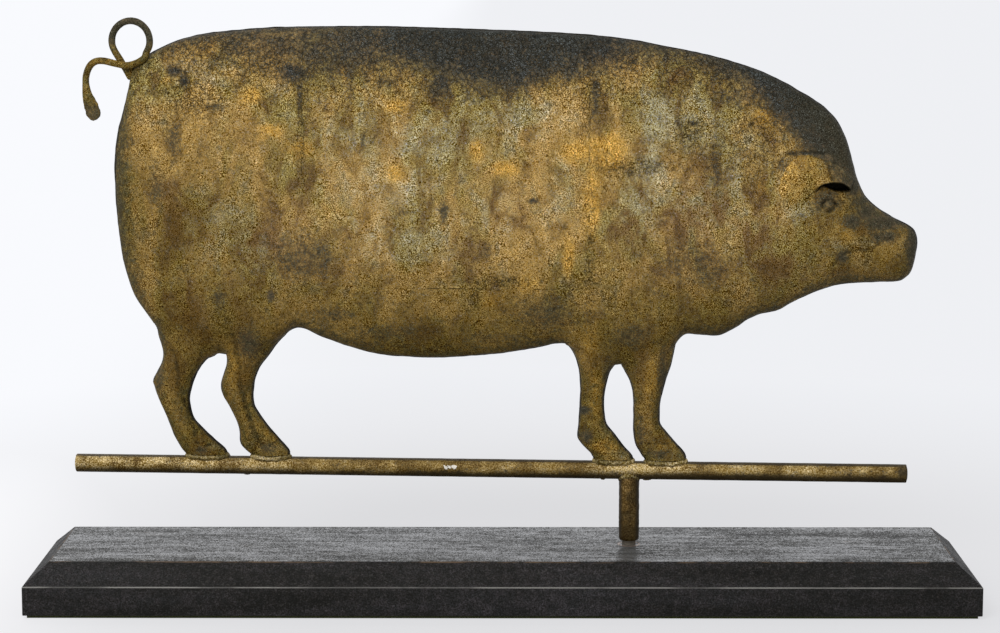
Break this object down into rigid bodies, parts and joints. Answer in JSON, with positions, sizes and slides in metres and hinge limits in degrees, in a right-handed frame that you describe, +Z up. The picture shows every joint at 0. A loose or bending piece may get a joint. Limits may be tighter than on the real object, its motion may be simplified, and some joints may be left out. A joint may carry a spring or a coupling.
{
  "type": "pig weathervane",
  "caption": "Swell-bodied sheet copper pig with curled wire tail, soldered on a round crossbar whose socket turns on a steel spindle in a bevelled wooden display base",
  "frame": {"origin": "underside of the felt, under the middle of the base board", "axes": "+X along the base towards the pig's snout, -Y towards the side that the picture shows, +Z up"},
  "size_m": [0.955, 0.21, 0.5913],
  "materials": {
    "black_painted_wood": "black paint over wood, worn along the edges",
    "felt": "dark green felt",
    "steel": "dull bare steel",
    "crossbar_brass": "weathered, ochre and olive",
    "solder": "dull, pale olive",
    "weathered_copper": "mottled gold-ochre and verdigris patina with a blue-black back"
  },
  "bodies": {
    "stand": {"base_board": "black_painted_wood", "base_felt": "felt", "spindle": "steel", "spindle_washer": "steel", "spindle_nut": "steel"},
    "vane": {"crossbar": "crossbar_brass", "crossbar_plugs": "solder", "socket": "crossbar_brass", "tee_solder": "solder", "foot_solder": "solder", "near_hindquarter": "weathered_copper", "near_flank": "weathered_copper", "near_belly": "weathered_copper", "near_forequarter": "weathered_copper", "near_ear": "weathered_copper", "far_hindquarter": "weathered_copper", "far_flank": "weathered_copper", "far_belly": "weathered_copper", "far_forequarter": "weathered_copper", "far_ear": "weathered_copper", "hind_leg_back_near": "weathered_copper", "hind_leg_back_far": "weathered_copper", "hind_leg_front_near": "weathered_copper", "hind_leg_front_far": "weathered_copper", "foreleg_back_near": "weathered_copper", "foreleg_back_far": "weathered_copper", "foreleg_front_near": "weathered_copper", "foreleg_front_far": "weathered_copper", "tail": "weathered_copper"}
  },
  "joints": [
    {"name": "vane_spin", "type": "hinge", "parent": "stand", "child": "vane", "pos_m": [0.13, 0, 0.1], "axis": [0, 0, 1], "continuous": true}
  ]
}
